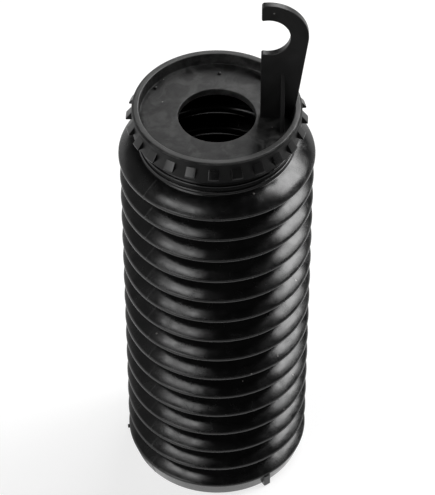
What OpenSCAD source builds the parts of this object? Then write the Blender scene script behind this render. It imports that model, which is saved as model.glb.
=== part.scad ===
// Rubber bellows boot: a folded dust boot that sleeves over a damper rod.
// It is one moulding: a short tapered cuff at the bottom, a stack of folds, a short beaded neck, and a
// head with a dished floor, a ring of catch lugs and a standing hook.
// Sizes are in millimetres. The origin is the middle of the cuff's bottom edge, and +Z is up.

/* [Folds] */
// Number of full folds between the cuff and the neck
fold_count = 14; // [4:1:18]
// Height of one fold, crest to crest
fold_pitch = 9.87; // [8.8:0.01:12]
// Outer radius over the crests
crest_r = 33; // [32:0.1:36]
// Outer radius at the bottom of the valleys
valley_r = 26.4; // [25:0.1:27.5]
// Rounding of the crest tips
crest_round = 1; // [0.6:0.1:1.3]
// Rounding of the valleys, outside
valley_round = 0.8; // [0.5:0.1:1.1]
// Rounding inside the crests
root_round = 0.4; // [0.2:0.1:0.6]
// Thickness of the rubber wall
wall = 1.3; // [1:0.1:1.8]

/* [Cuff] */
// Height of the cuff, from its mouth to the middle of the crest above it
cuff_h = 5.8; // [5:0.1:7]
// How much smaller the mouth's outer radius is than the crests'
cuff_taper = 1.6; // [1:0.1:2]
// Thickness of the cuff's wall at its mouth, outside the seat on the damper tube
cuff_wall = 1.4; // [1.2:0.1:1.8]
// Width of the moulding tab on the cuff
tab_w = 2.6; // [1.5:0.1:4]
// How far the tab stands out past the crests
tab_out = 0.4; // [0.2:0.1:1]
// Angle of the tab round the cuff, from +X
tab_turn = -56; // [-180:1:180]
// Radius of the small vent nub on the cuff
nub_r = 0.7; // [0.4:0.1:1]
// How far the nub stands out past the crests
nub_out = 0.6; // [0.4:0.1:1]
// Angle of the nub round the cuff, from +X
nub_turn = -175; // [-180:1:180]
// Height of the tab's top and of the nub's top below the middle of the crest
mark_gap = 0.3; // [0.2:0.1:0.8]

/* [Shoulder and neck] */
// Outer radius of the top fold
shoulder_r = 33.3; // [32.5:0.1:36]
// Radius of the shoulder's crown, seen in section
shoulder_bow = 20; // [16:1:30]
// Angle up from level at which the crown leaves the top crest
shoulder_lean = 50; // [44:1:56]
// Outer radius of the neck
neck_r = 26.1; // [25:0.1:27]
// Height of the neck from the shoulder's crown to the collar
neck_h = 7.7; // [6.5:0.1:12]
// Radius of the two beads round the neck
bead_r = 0.6; // [0.4:0.1:0.8]
// Clear height between the shoulder's turn and the lower bead
bead_gap = 0.1; // [0.05:0.05:0.8]
// Height between the two beads
bead_step = 2.5; // [2:0.1:3]

/* [Head] */
// Outer radius of the collar
collar_r = 28.4; // [28:0.1:29.5]
// Height of the collar, from its underside to the rim
collar_h = 8.7; // [8:0.1:12]
// Rounding of the collar's top edge
rim_round = 0.9; // [0.5:0.1:1.2]
// Radius of the dish inside the rim
dish_r = 26; // [25:0.1:26.4]
// Depth of the dish below the rim
dish_depth = 4.4; // [3:0.1:5]
// Thickness of the dish's floor
floor_t = 2.6; // [2:0.1:3.4]
// Radius of the rod hole
rod_hole_r = 13; // [11:0.1:15]
// Radius of the two pips on the floor
pip_r = 0.6; // [0.4:0.1:0.8]
// Height of the pips
pip_h = 0.7; // [0.4:0.1:1]

/* [Lugs] */
// Number of catch lugs round the collar
lug_count = 24; // [12:1:28]
// Angle that one lug covers
lug_angle = 6.8; // [4:0.1:9]
// Turn of the first lug from straight front, clockwise seen from above
lug_turn = 2; // [0:0.5:15]
// How far the lugs stand out of the collar
lug_out = 2; // [1:0.1:2.5]
// Height of a lug
lug_h = 3.2; // [2.5:0.1:4]
// Height of the flat face at a lug's foot
lug_land = 0.5; // [0.3:0.1:1]
// Height of the lugs' foot above the collar's underside
lug_lift = 3; // [2:0.1:3.5]

/* [Hook] */
// Thickness of the hook's plate
hook_t = 2.4; // [1.8:0.1:3.2]
// Gap between the rod hole and the hook's straight edge
hook_inset = 1.4; // [0.8:0.1:3]
// Radius of the hook's eye
eye_r = 7.2; // [6:0.05:8.5]
// Width of the band round the eye
eye_band = 6; // [4:0.05:6.5]
// Distance of the eye's centre from the hook's straight edge
eye_reach = 2.2; // [1.5:0.1:4]
// Height of the eye's centre above the dish floor
eye_h = 34.8; // [28:0.1:45]
// Gap between the hook's foot and the rim
foot_gap = 1.2; // [0.8:0.1:2.5]
// Gap between the hook and the rim's top edge
rim_gap = 0.2; // [0.15:0.05:0.6]
// Height above the rim at which the hook's back turns to the eye
knee_h = 3.1; // [1:0.1:6]
// Chamfer at the ends of the hook's lips
lip_chamfer = 0.6; // [0.3:0.1:1]
// Thickness of the hook's rib
rib_t = 1.3; // [1:0.1:2]
// Distance of the rib from the hook's straight edge
rib_in = 7.2; // [4:0.1:8]
// Height of the rib above the dish floor
rib_h = 19.3; // [12:0.1:22]
// How far the rib's foot runs out from the plate
rib_out = 7.6; // [5:0.1:9]

/* [Hidden] */
$fn = 144;
black_rubber = [0.09, 0.09, 0.10];
// Depth by which a raised form is rooted in what carries it
root = 0.7;
// Small rounding of the cuff's mouth, the rim's inner edge and the collar's lower edge
edge_round = 0.4;

// Angle of a fold's face from level: the line that touches the crest's and the valley's rounding
fold_run = crest_r - crest_round - valley_r - valley_round;
fold_rise = fold_pitch / 2;
fold_lean = atan2(fold_rise, fold_run)
    - asin((crest_round + valley_round) / norm([fold_run, fold_rise]));
// Angle that each rounding turns through, to either side of level
half_turn = 90 - fold_lean;

// Mouth, and the seat on the damper tube inside it
cuff_r = crest_r - cuff_taper;
cuff_bore_r = cuff_r - cuff_wall;
// Angle below level that the cuff's tapered side faces: it touches the roundings of crest and mouth
cuff_in = cuff_taper - crest_round + edge_round;
cuff_drop = cuff_h - edge_round;
cuff_face = atan2(cuff_in, cuff_drop) + asin((crest_round - edge_round) / norm([cuff_in, cuff_drop]));

first_valley_z = cuff_h + fold_rise;
top_crest_z = first_valley_z + fold_rise + (fold_count - 1) * fold_pitch;

// Centre of the shoulder's crown, which touches the top crest's rounding from inside
crown_c = [shoulder_r - crest_round, top_crest_z]
    - (shoulder_bow - crest_round) * [cos(shoulder_lean), sin(shoulder_lean)];
// Centre and turn of the rounding between crown and neck
neck_turn_r = neck_r + valley_round;
neck_turn_z = crown_c[1]
    + sqrt(pow(shoulder_bow + valley_round, 2) - pow(neck_turn_r - crown_c[0], 2));
crown_end = atan2(neck_turn_z - crown_c[1], neck_turn_r - crown_c[0]);

collar_z = neck_turn_z - valley_round + neck_h;
rim_z = collar_z + collar_h;
floor_z = rim_z - dish_depth;

hook_x = rod_hole_r + hook_inset;
eye_c = [hook_x + eye_reach, floor_z + eye_h];
hook_r = eye_r + eye_band;

// Points of an arc about c from angle a to angle b, both ends included
function arc(c, r, a, b, steps) =
    [for (i = [0:steps]) let (t = a + (b - a) * i / steps) c + r * [cos(t), sin(t)]];

// Height of the crest numbered from the bottom, starting at 0, and of the valley below it
function crest_z(i) = first_valley_z + fold_rise + i * fold_pitch;
function valley_z(i) = first_valley_z + i * fold_pitch;

// Outer radius of a crest: the top one is a little larger
function crest_out(i) = i == fold_count - 1 ? shoulder_r : crest_r;

// Cuff's outside, from its mouth to the turn into the first slope
function cuff_outside() = concat(
    arc([cuff_r - edge_round, edge_round], edge_round, -90, -cuff_face, 3),
    arc([crest_r - crest_round, cuff_h], crest_round, -cuff_face, half_turn, 6));

// Folds' outside, valley and crest by turns, up to where the crown starts
function folds_outside() = [for (i = [0:fold_count - 1]) each concat(
    arc([valley_r + valley_round, valley_z(i)], valley_round,
        180 + half_turn, 180 - half_turn, 4),
    arc([crest_out(i) - crest_round, crest_z(i)], crest_round, -half_turn,
        i == fold_count - 1 ? shoulder_lean : half_turn, 6))];

// Crown of the shoulder and the turn into the neck
function crown_outside() = concat(
    arc(crown_c, shoulder_bow, shoulder_lean, crown_end, 8),
    arc([neck_turn_r, neck_turn_z], valley_round, 180 + crown_end, 180, 4));

// Neck with its two beads
function neck_outside() = [for (i = [0:1])
    each arc([neck_r, neck_turn_z + bead_gap + bead_r + i * bead_step], bead_r, -90, 90, 6)];

// Collar, rim and dish down to the edge of the rod hole
function head_outside() = concat(
    [[neck_r, collar_z]],
    arc([collar_r - edge_round, collar_z + edge_round], edge_round, -90, 0, 3),
    arc([collar_r - rim_round, rim_z - rim_round], rim_round, 0, 90, 6),
    arc([dish_r + edge_round, rim_z - edge_round], edge_round, 90, 180, 3),
    arc([dish_r - edge_round, floor_z + edge_round], edge_round, 0, -90, 3),
    [[rod_hole_r, floor_z], [rod_hole_r, floor_z - floor_t]]);

// Inside of the neck and of the crown, down to the top crest's root
function crown_inside() =
    let (inner_bow = shoulder_bow - wall,
         lower_line = [sin(fold_lean), -cos(fold_lean)],
         touch = lower_line * ([shoulder_r - crest_round, top_crest_z] - crown_c)
             + crest_round - wall - root_round,
         root_turn = fold_lean - asin(touch / (inner_bow - root_round)),
         root_c = crown_c + (inner_bow - root_round) * [cos(root_turn), sin(root_turn)])
    concat(
        [[neck_r - wall, floor_z - floor_t]],
        arc([neck_turn_r, neck_turn_z], valley_round + wall, 180, 180 + crown_end, 4),
        arc(crown_c, inner_bow, crown_end, root_turn, 8),
        arc(root_c, root_round, root_turn, -half_turn, 3));

// Inside of the folds from the top down: each valley bulges in, each crest leaves a narrow root
root_in = (wall + root_round - crest_round) / sin(fold_lean);
function folds_inside() = [for (i = [fold_count - 1:-1:0]) each concat(
    i == fold_count - 1 ? [] :
        arc([crest_r - crest_round - root_in, crest_z(i)], root_round, half_turn, -half_turn, 3),
    arc([valley_r + valley_round, valley_z(i)], valley_round + wall,
        180 - half_turn, 180 + half_turn, 5))];

// Cuff's inside: the last slope runs down to the bore
cuff_slope_end = first_valley_z - (valley_round + wall) * cos(fold_lean)
    - (cuff_bore_r - valley_r - valley_round + (valley_round + wall) * sin(fold_lean))
    * tan(fold_lean);
function cuff_inside() = concat(
    [[cuff_bore_r, cuff_slope_end]],
    arc([cuff_bore_r + edge_round, edge_round], edge_round, 180, 270, 3));

// Whole wall of the boot, one section turned about the axis
module boot_wall() {
    rotate_extrude()
        polygon(concat(cuff_outside(), folds_outside(), crown_outside(), neck_outside(),
            head_outside(), crown_inside(), folds_inside(), cuff_inside()));
}

// One catch lug: a flat underside, a short flat face, and a ramp that runs on into the collar
module lug() {
    foot_z = collar_z + lug_lift;
    ramp = (lug_h - lug_land) / lug_out;
    rotate([0, 0, -90 - lug_angle / 2])
        rotate_extrude(angle = lug_angle)
            polygon([[collar_r - root, foot_z], [collar_r + lug_out, foot_z],
                [collar_r + lug_out, foot_z + lug_land],
                [collar_r - root, foot_z + lug_h + root * ramp]]);
}

// Ring of lugs on the collar
module lug_ring() {
    for (i = [0:lug_count - 1])
        rotate([0, 0, i * 360 / lug_count - lug_turn])
            lug();
}

// Plate of the hook: its back runs from the foot past the rim and on to touch the eye's band
module hook_plate() {
    foot_x = dish_r - foot_gap;
    lean = (foot_gap - rim_gap) / dish_depth;
    knee = [foot_x + lean * (dish_depth + knee_h), rim_z + knee_h];
    to_eye = knee - eye_c;
    touch_turn = atan2(to_eye[1], to_eye[0]) + acos(hook_r / norm(to_eye));
    touch = eye_c + hook_r * [cos(touch_turn), sin(touch_turn)];
    lip_drop = sqrt(pow(eye_r, 2) - pow(eye_reach, 2));
    arm_rise = sqrt(pow(hook_r, 2) - pow(eye_reach, 2));
    difference() {
        union() {
            circle(hook_r);
            translate(-eye_c)
                polygon([[hook_x, floor_z - root], [foot_x, floor_z - root], [foot_x, floor_z],
                    knee, touch, eye_c, [hook_x, eye_c[1]]]);
        }
        circle(eye_r);
        translate([-eye_reach - 2 * hook_r, -hook_r])
            square([2 * hook_r, 3 * hook_r]);
        for (z = [-lip_drop, lip_drop, arm_rise])
            translate([-eye_reach, z])
                rotate(45)
                    square(lip_chamfer * sqrt(2), center = true);
    }
}

// Thin rib that props the plate on its front side
module hook_rib() {
    foot_y = -hook_t / 2 - rib_out;
    translate([hook_x + rib_in, 0, floor_z])
        rotate([90, 0, 90])
            linear_extrude(height = rib_t, center = true)
                polygon([[0, rib_h], [-hook_t / 2, rib_h], [foot_y, 0], [foot_y, -root],
                    [0, -root]]);
}

// Standing hook in the plane through the axis
module hook() {
    translate([eye_c[0], 0, eye_c[1]])
        rotate([90, 0, 0])
            linear_extrude(height = hook_t, center = true)
                hook_plate();
    hook_rib();
}

// Pips left by the mould on the dish floor, each at an angle and a distance in from the rim
module floor_pips() {
    for (spot = [[147, 1.3], [87.5, 5.2]])
        rotate([0, 0, spot[0]])
            translate([dish_r - spot[1], 0, floor_z - root])
                cylinder(r = pip_r, h = pip_h + root);
}

// Moulding tab and vent nub on the cuff's tapered side
module cuff_marks() {
    mark_root = cuff_taper + root;
    rotate([0, 0, tab_turn])
        translate([crest_r - mark_root, -tab_w / 2, edge_round])
            cube([mark_root + tab_out, tab_w, cuff_h - mark_gap - edge_round]);
    rotate([0, 0, nub_turn])
        translate([crest_r - mark_root, 0, cuff_h - mark_gap - nub_r])
            rotate([0, 90, 0])
                cylinder(r = nub_r, h = mark_root + nub_out);
}

module bellows_boot() {
    color(black_rubber)
        union() {
            boot_wall();
            lug_ring();
            hook();
            floor_pips();
            cuff_marks();
        }
}

bellows_boot();
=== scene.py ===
# %% [markdown]
# # A rubber bellows boot, from its section to its shine
#
# The object is a black dust boot for a damper rod. It is one rubber moulding: a short cuff, fourteen
# folds, a beaded neck, and a dished head with catch lugs and a standing hook. This notebook
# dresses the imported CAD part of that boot. The main sizes below are the CAD part's own, so each
# piece lands where the CAD solid is. What is finer than a solid should carry, such as mould lines
# and broken edges, is added here.

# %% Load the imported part
import math

import bmesh
import bpy
from mathutils import Matrix, Vector


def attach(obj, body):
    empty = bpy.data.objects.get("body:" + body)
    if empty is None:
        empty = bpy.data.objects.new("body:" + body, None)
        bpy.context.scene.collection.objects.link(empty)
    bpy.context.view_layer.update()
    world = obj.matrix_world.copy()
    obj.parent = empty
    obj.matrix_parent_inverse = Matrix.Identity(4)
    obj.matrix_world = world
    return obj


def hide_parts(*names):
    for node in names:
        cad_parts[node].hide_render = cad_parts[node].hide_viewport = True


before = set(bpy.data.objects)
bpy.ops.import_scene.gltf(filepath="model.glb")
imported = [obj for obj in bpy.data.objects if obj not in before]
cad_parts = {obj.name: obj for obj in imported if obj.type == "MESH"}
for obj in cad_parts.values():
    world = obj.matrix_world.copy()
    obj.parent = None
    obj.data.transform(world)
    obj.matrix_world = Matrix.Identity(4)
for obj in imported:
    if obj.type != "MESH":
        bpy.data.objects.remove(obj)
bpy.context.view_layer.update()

# %% [markdown]
# ## The camera
#
# The photograph looks down on the standing boot from about 45 degrees, from nearly 0.9 m away with a
# long lens. The camera could be aimed by eye, but its angle, distance and lens were worked out
# from the widths and heights of the folds, so the numbers are set as they were found.

# %% Camera at the photograph's angle
IMAGE_WIDTH, IMAGE_HEIGHT = 435, 495
CAMERA_ELEVATION = math.radians(45.51)
CAMERA_DISTANCE = 0.8874
FOCAL_PIXELS = 2531.6
SENSOR_WIDTH = 36.0
AIM = Vector((0.0002, 0.0, 0.097485))


def added(name, data):
    """A new object with that mesh, lamp or camera, linked to the scene."""
    thing = bpy.data.objects.new(name, data)
    bpy.context.scene.collection.objects.link(thing)
    return thing


def photo_camera():
    """The camera that took the photograph, as far as its picture tells."""
    data = bpy.data.cameras.new("photo_camera")
    data.sensor_width = SENSOR_WIDTH
    data.lens = FOCAL_PIXELS * SENSOR_WIDTH / max(IMAGE_WIDTH, IMAGE_HEIGHT)
    data.clip_start, data.clip_end = 0.01, 50.0
    camera = added("photo_camera", data)
    back = Vector((0.0, -math.cos(CAMERA_ELEVATION), math.sin(CAMERA_ELEVATION)))
    camera.location = AIM + back * CAMERA_DISTANCE
    camera.rotation_mode = "QUATERNION"
    camera.rotation_quaternion = (-back).to_track_quat("-Z", "Y")
    bpy.context.scene.camera = camera
    print("lens", round(data.lens, 2), "mm, camera at", [round(x, 4) for x in camera.location])


photo_camera()

# %% [markdown]
# ## The boot's sizes
#
# A moulded bellows is best described by its section, the shape that a cut along the axis shows. Each
# value here is one size of that section, in metres. The folds are straight cones that touch a small
# rounding at each crest and each valley, so their lean follows from the other sizes.

# %% Sizes of the section
MM = 0.001
FOLDS = 14
FOLD_PITCH = 9.87 * MM
CREST_R = 33.0 * MM
VALLEY_R = 26.4 * MM
CREST_ROUND = 1.0 * MM
VALLEY_ROUND = 0.8 * MM
ROOT_ROUND = 0.4 * MM
WALL = 1.3 * MM

CUFF_HEIGHT = 5.8 * MM
CUFF_TAPER = 1.6 * MM
CUFF_WALL = 1.4 * MM
CUFF_R = CREST_R - CUFF_TAPER
CUFF_BORE_R = CUFF_R - CUFF_WALL
FIRST_VALLEY = CUFF_HEIGHT + FOLD_PITCH / 2

SHOULDER_R = 33.3 * MM
SHOULDER_BOW = 20.0 * MM
SHOULDER_LEAN = 50.0
NECK_R = 26.1 * MM
NECK_HEIGHT = 7.7 * MM
BEADS = 2
BEAD_R = 0.6 * MM
BEAD_GAP = 0.1 * MM
BEAD_STEP = 2.5 * MM

COLLAR_R = 28.4 * MM
COLLAR_HEIGHT = 8.7 * MM
RIM_ROUND = 0.9 * MM
DISH_R = 26.0 * MM
DISH_DEPTH = 4.4 * MM
FLOOR_THICKNESS = 2.6 * MM
ROD_HOLE_R = 13.0 * MM
EDGE_ROUND = 0.4 * MM
HOLE_ROUND = 0.25 * MM

# %% How steeply the faces lean


def lean_between(run, rise, rounding):
    """Angle in degrees, from level, of the line that touches two roundings."""
    reach = math.hypot(run, rise)
    return math.degrees(math.atan2(rise, run) - math.asin(rounding / reach))


FOLD_LEAN = lean_between(
    CREST_R - CREST_ROUND - VALLEY_R - VALLEY_ROUND, FOLD_PITCH / 2, CREST_ROUND + VALLEY_ROUND
)
cuff_in = CUFF_TAPER - CREST_ROUND + EDGE_ROUND
cuff_drop = CUFF_HEIGHT - EDGE_ROUND
cuff_tangent = math.asin((CREST_ROUND - EDGE_ROUND) / math.hypot(cuff_in, cuff_drop))
CUFF_FACE = math.degrees(math.atan2(cuff_in, cuff_drop) + cuff_tangent)
print("folds lean", round(FOLD_LEAN, 2), "degrees from level")
print("cuff's side faces", round(CUFF_FACE, 2), "degrees below level")

# %% Heights of the top fold and of the head
TOP_CREST = FIRST_VALLEY + FOLD_PITCH * (FOLDS - 0.5)
TOP_VALLEY = FIRST_VALLEY + FOLD_PITCH * (FOLDS - 1)
lean = math.radians(SHOULDER_LEAN)
CROWN = Vector((SHOULDER_R - CREST_ROUND, TOP_CREST)) - (SHOULDER_BOW - CREST_ROUND) * Vector(
    (math.cos(lean), math.sin(lean))
)
NECK_TURN = Vector((NECK_R + VALLEY_ROUND, 0.0))
NECK_TURN.y = CROWN.y + math.sqrt((SHOULDER_BOW + VALLEY_ROUND) ** 2 - (NECK_TURN.x - CROWN.x) ** 2)
CROWN_END = math.degrees(math.atan2(NECK_TURN.y - CROWN.y, NECK_TURN.x - CROWN.x))
COLLAR_Z = NECK_TURN.y - VALLEY_ROUND + NECK_HEIGHT
RIM_Z = COLLAR_Z + COLLAR_HEIGHT
FLOOR_Z = RIM_Z - DISH_DEPTH
print("top crest at", round(TOP_CREST / MM, 2), "mm")
print("collar, floor and rim at", [round(z / MM, 2) for z in (COLLAR_Z, FLOOR_Z, RIM_Z)], "mm")

# %% [markdown]
# ## The faint crown of the folds
#
# A fold's upper face isn't quite straight on the real boot. It stands about 0.1 mm proud, most of
# all in the third next to the crest. Satin rubber shows that: the bulge bends the mirrored lamps,
# so that a dark line lies over each crest and the light fades towards the valley. A bump in the
# material would look the same from afar, but a real form is also in the mesh itself.

# %% The corners of the straight folds
FACE_TURN = 90.0 - FOLD_LEAN
SLANT = math.sin(math.radians(FOLD_LEAN))
LEVEL = math.cos(math.radians(FOLD_LEAN))
CREST_CORNER = CREST_R - CREST_ROUND + CREST_ROUND / SLANT
VALLEY_CORNER = VALLEY_R + VALLEY_ROUND - VALLEY_ROUND / SLANT
MID_FACE_R = (CREST_CORNER + VALLEY_CORNER) / 2
WALL_SHIFT = WALL / SLANT
print("a face looks", round(FACE_TURN, 2), "degrees away from level")

# %% The crown on an upper face
FACE_CROWN = 0.2 * MM
FACE_CUTS = 5
RISE_POWER, FALL_POWER = 0.35, 0.8
FACE_OUTER_R = CREST_R - CREST_ROUND + CREST_ROUND * SLANT
FACE_INNER_R = VALLEY_R + VALLEY_ROUND - VALLEY_ROUND * SLANT


def crown_lift(share):
    """How far a face is lifted, at this share of the way from its crest to its valley."""
    return FACE_CROWN * share**RISE_POWER * (1 - share) ** FALL_POWER


def crowned_face(crest_z):
    """Points between a crest and the valley above it, lifted a little off the straight line."""
    points = []
    for cut in range(1, FACE_CUTS + 1):
        share = cut / (FACE_CUTS + 1)
        run = (FACE_OUTER_R - FACE_INNER_R) * share
        straight_z = crest_z + CREST_ROUND * LEVEL + run * SLANT / LEVEL
        lift = crown_lift(share)
        points.append((FACE_OUTER_R - run + lift * SLANT, straight_z + lift * LEVEL))
    return points


highest = RISE_POWER / (RISE_POWER + FALL_POWER)
print("upper faces stand", round(crown_lift(highest) / MM, 3), "mm proud of a straight line")

# %% [markdown]
# ## The section's two drawn ends
#
# The boot's section is a closed loop. Its folded middle repeats, so Geometry Nodes draw that. The
# cuff at the bottom, and the shoulder, neck and head at the top, are drawn here as chains of arcs.
# Each point is a pair, distance from the axis and height. The ends stop half way along a fold's
# face, where the repeating part takes over.

# %% The cuff, from the inside of the first fold round to its outside


def arc(centre, radius, start, end, steps):
    """Points round centre from start to end, in degrees, both included."""
    angles = [math.radians(start + (end - start) * i / steps) for i in range(steps + 1)]
    return [(centre[0] + radius * math.cos(a), centre[1] + radius * math.sin(a)) for a in angles]


valley_centre = (VALLEY_R + VALLEY_ROUND, FIRST_VALLEY)
inner_bend = VALLEY_ROUND + WALL
slope_run = CUFF_BORE_R - valley_centre[0] + inner_bend * SLANT
slope_end = FIRST_VALLEY - inner_bend * LEVEL - slope_run * SLANT / LEVEL

cuff_inside = [(MID_FACE_R - WALL_SHIFT, FIRST_VALLEY + FOLD_PITCH / 4)]
cuff_inside += arc(valley_centre, inner_bend, 180 - FACE_TURN, 180 + FACE_TURN, 10)
cuff_inside += [(CUFF_BORE_R, slope_end)]
cuff_inside += arc((CUFF_BORE_R + EDGE_ROUND, EDGE_ROUND), EDGE_ROUND, 180, 270, 4)
cuff_mouth = arc((CUFF_R - EDGE_ROUND, EDGE_ROUND), EDGE_ROUND, -90, -CUFF_FACE, 4)
cuff_outside = cuff_mouth[-1:]
cuff_outside += arc((CREST_R - CREST_ROUND, CUFF_HEIGHT), CREST_ROUND, -CUFF_FACE, FACE_TURN, 10)
cuff_outside += crowned_face(CUFF_HEIGHT)
cuff_outside += arc(valley_centre, VALLEY_ROUND, 180 + FACE_TURN, 180 - FACE_TURN, 8)
cuff_outside += [(MID_FACE_R, FIRST_VALLEY + FOLD_PITCH / 4)]
cuff_section = cuff_inside + cuff_mouth[:-1] + cuff_outside
print("cuff section has", len(cuff_section), "points, bore ends at", round(slope_end / MM, 2), "mm")

# %% The shoulder's outside, and the small rounding inside the top fold
top_corner = Vector((SHOULDER_R - CREST_ROUND, TOP_CREST))
shoulder_outside = [(MID_FACE_R, TOP_VALLEY + FOLD_PITCH / 4)]
shoulder_outside += arc(top_corner, CREST_ROUND, -FACE_TURN, SHOULDER_LEAN, 10)
shoulder_outside += arc(CROWN, SHOULDER_BOW, SHOULDER_LEAN, CROWN_END, 10)[1:]

inner_bow = SHOULDER_BOW - WALL
touch = Vector((SLANT, -LEVEL)).dot(top_corner - CROWN) + CREST_ROUND - WALL - ROOT_ROUND
root_turn = FOLD_LEAN - math.degrees(math.asin(touch / (inner_bow - ROOT_ROUND)))
turn = math.radians(root_turn)
root_centre = CROWN + (inner_bow - ROOT_ROUND) * Vector((math.cos(turn), math.sin(turn)))
print("rounding inside the top fold at", [round(v / MM, 2) for v in root_centre], "mm")

# %% The neck and head, from the shoulder's outside round to its inside
head_section = shoulder_outside + arc(NECK_TURN, VALLEY_ROUND, 180 + CROWN_END, 180, 6)
for bead in range(BEADS):
    bead_z = NECK_TURN.y + BEAD_GAP + BEAD_R + bead * BEAD_STEP
    head_section += arc((NECK_R, bead_z), BEAD_R, -90, 90, 8)
head_section += arc((NECK_R + HOLE_ROUND, COLLAR_Z - HOLE_ROUND), HOLE_ROUND, 180, 90, 3)
head_section += arc((COLLAR_R - EDGE_ROUND, COLLAR_Z + EDGE_ROUND), EDGE_ROUND, -90, 0, 4)
head_section += arc((COLLAR_R - RIM_ROUND, RIM_Z - RIM_ROUND), RIM_ROUND, 0, 90, 8)
head_section += arc((DISH_R + EDGE_ROUND, RIM_Z - EDGE_ROUND), EDGE_ROUND, 90, 180, 4)
head_section += arc((DISH_R - EDGE_ROUND, FLOOR_Z + EDGE_ROUND), EDGE_ROUND, 0, -90, 5)
head_section += arc((ROD_HOLE_R + HOLE_ROUND, FLOOR_Z - HOLE_ROUND), HOLE_ROUND, 90, 180, 4)
floor_under = FLOOR_Z - FLOOR_THICKNESS
head_section += arc((ROD_HOLE_R + HOLE_ROUND, floor_under + HOLE_ROUND), HOLE_ROUND, 180, 270, 4)
head_section += [(NECK_R - WALL, floor_under)]
head_section += arc(NECK_TURN, VALLEY_ROUND + WALL, 180, 180 + CROWN_END, 8)
head_section += arc(CROWN, inner_bow, CROWN_END, root_turn, 10)
head_section += arc(root_centre, ROOT_ROUND, root_turn, -FACE_TURN, 5)[1:]
head_section += [(MID_FACE_R - WALL_SHIFT, TOP_VALLEY + FOLD_PITCH / 4)]
print("head section has", len(head_section), "points")

# %% [markdown]
# ## Small tools for building node trees
#
# Node trees are quicker to read when each node is one line. These helpers make a tree with named
# inputs, place a node and fill its sockets, and turn a finished modifier into a plain mesh. A
# modifier's inputs are set by the socket's identifier, which is what Blender stores.

# %% Helpers that make a tree and place a node


def new_tree(kind, name, inputs, *outputs):
    """An empty Geometry or Shader tree, its input sockets and its output sockets.

    An input is given as its default number, or as the kind of its socket. A Geometry tree puts
    out geometry, and a Shader tree puts out numbers.
    """
    tree = bpy.data.node_groups.new(name, kind + "NodeTree")
    for label, value in inputs.items():
        is_kind = isinstance(value, str)
        socket_type = "NodeSocket" + (value if is_kind else type(value).__name__.title())
        socket = tree.interface.new_socket(label, in_out="INPUT", socket_type=socket_type)
        if not is_kind:
            socket.default_value = value
    socket_type = "NodeSocketGeometry" if kind == "Geometry" else "NodeSocketFloat"
    for label in outputs:
        tree.interface.new_socket(label, in_out="OUTPUT", socket_type=socket_type)
    given, result = tree.nodes.new("NodeGroupInput"), tree.nodes.new("NodeGroupOutput")
    return tree, given.outputs, result.inputs


def pick(sockets, key):
    """The enabled socket of that name, or the socket of that number."""
    if isinstance(key, int):
        return sockets[key]
    return next(s for s in sockets if s.name == key and s.enabled)


def put(tree, kind, values=None, **settings):
    """Places a node, sets its options, and links or fills its inputs by name or number."""
    node = tree.nodes.new(kind)
    for key, value in settings.items():
        setattr(node, key, value)
    for key, value in (values or {}).items():
        socket = pick(node.inputs, key)
        if isinstance(value, bpy.types.NodeSocket):
            tree.links.new(value, socket)
        else:
            socket.default_value = value
    return node


# %% Helpers for sums and lengths, in both kinds of tree


def made(tree, kind, values=None, **settings):
    """The first output of a node that is put in the tree."""
    return put(tree, kind, values, **settings).outputs[0]


def sums(tree, operation, a, b=0.0, clamp=False):
    """One Math node's result."""
    return made(tree, "ShaderNodeMath", {0: a, 1: b}, operation=operation, use_clamp=clamp)


def times(tree, product, *factors):
    """All the numbers multiplied."""
    for factor in factors:
        product = sums(tree, "MULTIPLY", product, factor)
    return product


def measured(tree, operation, a, b=(0.0, 0.0, 0.0)):
    """The number that one Vector Math node makes, such as a length."""
    return put(tree, "ShaderNodeVectorMath", {0: a, 1: b}, operation=operation).outputs["Value"]


def axis_distance(tree, place):
    """How far a place lies from the boot's axis."""
    flat = made(tree, "ShaderNodeVectorMath", {0: place, 1: (1.0, 1.0, 0.0)}, operation="MULTIPLY")
    return measured(tree, "LENGTH", flat)


def blend(tree, factor, a, b):
    """Number a where factor is 0 and number b where it is 1."""
    return made(tree, "ShaderNodeMix", {"Factor": factor, "A": a, "B": b})


def ramp(tree, value, low, high, to_low=0.0, to_high=1.0, smooth=True):
    """Maps low to high onto to_low to to_high, held at both ends."""
    kind = "SMOOTHSTEP" if smooth else "LINEAR"
    values = {"Value": value, "From Min": low, "From Max": high}
    values.update({"To Min": to_low, "To Max": to_high})
    return made(tree, "ShaderNodeMapRange", values, interpolation_type=kind)


# %% Helpers for geometry
TOUCHING = 0.001 * MM


def joined_loop(tree, *parts):
    """One curve along the edges of all the parts, whose touching ends are merged."""
    join = put(tree, "GeometryNodeJoinGeometry")
    for part in parts:
        tree.links.new(part, join.inputs[0])
    values = {"Geometry": join.outputs[0], "Distance": TOUCHING}
    whole = made(tree, "GeometryNodeMergeByDistance", values)
    return made(tree, "GeometryNodeMeshToCurve", {"Mesh": whole})


def circle(tree, corners, radius):
    """A circle round the origin."""
    values = {"Resolution": corners, "Radius": radius}
    return made(tree, "GeometryNodeCurvePrimitiveCircle", values, mode="RADIUS")


def moved(tree, geometry, **changes):
    """The geometry after a Translation, Rotation or Scale."""
    return made(tree, "GeometryNodeTransform", {"Geometry": geometry, **changes})


def made_real(tree, geometry, finish):
    """The geometry as real faces in a finish, because the export drops instances."""
    real = made(tree, "GeometryNodeRealizeInstances", {"Geometry": geometry})
    values = {"Geometry": real, "Material": finish}
    return made(tree, "GeometryNodeSetMaterial", values)


# %% Helpers that feed a tree and take its mesh


def evaluated_mesh(piece):
    """The plain mesh that the modifiers make of a piece."""
    depsgraph = bpy.context.evaluated_depsgraph_get()
    return bpy.data.meshes.new_from_object(piece.evaluated_get(depsgraph), depsgraph=depsgraph)


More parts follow.
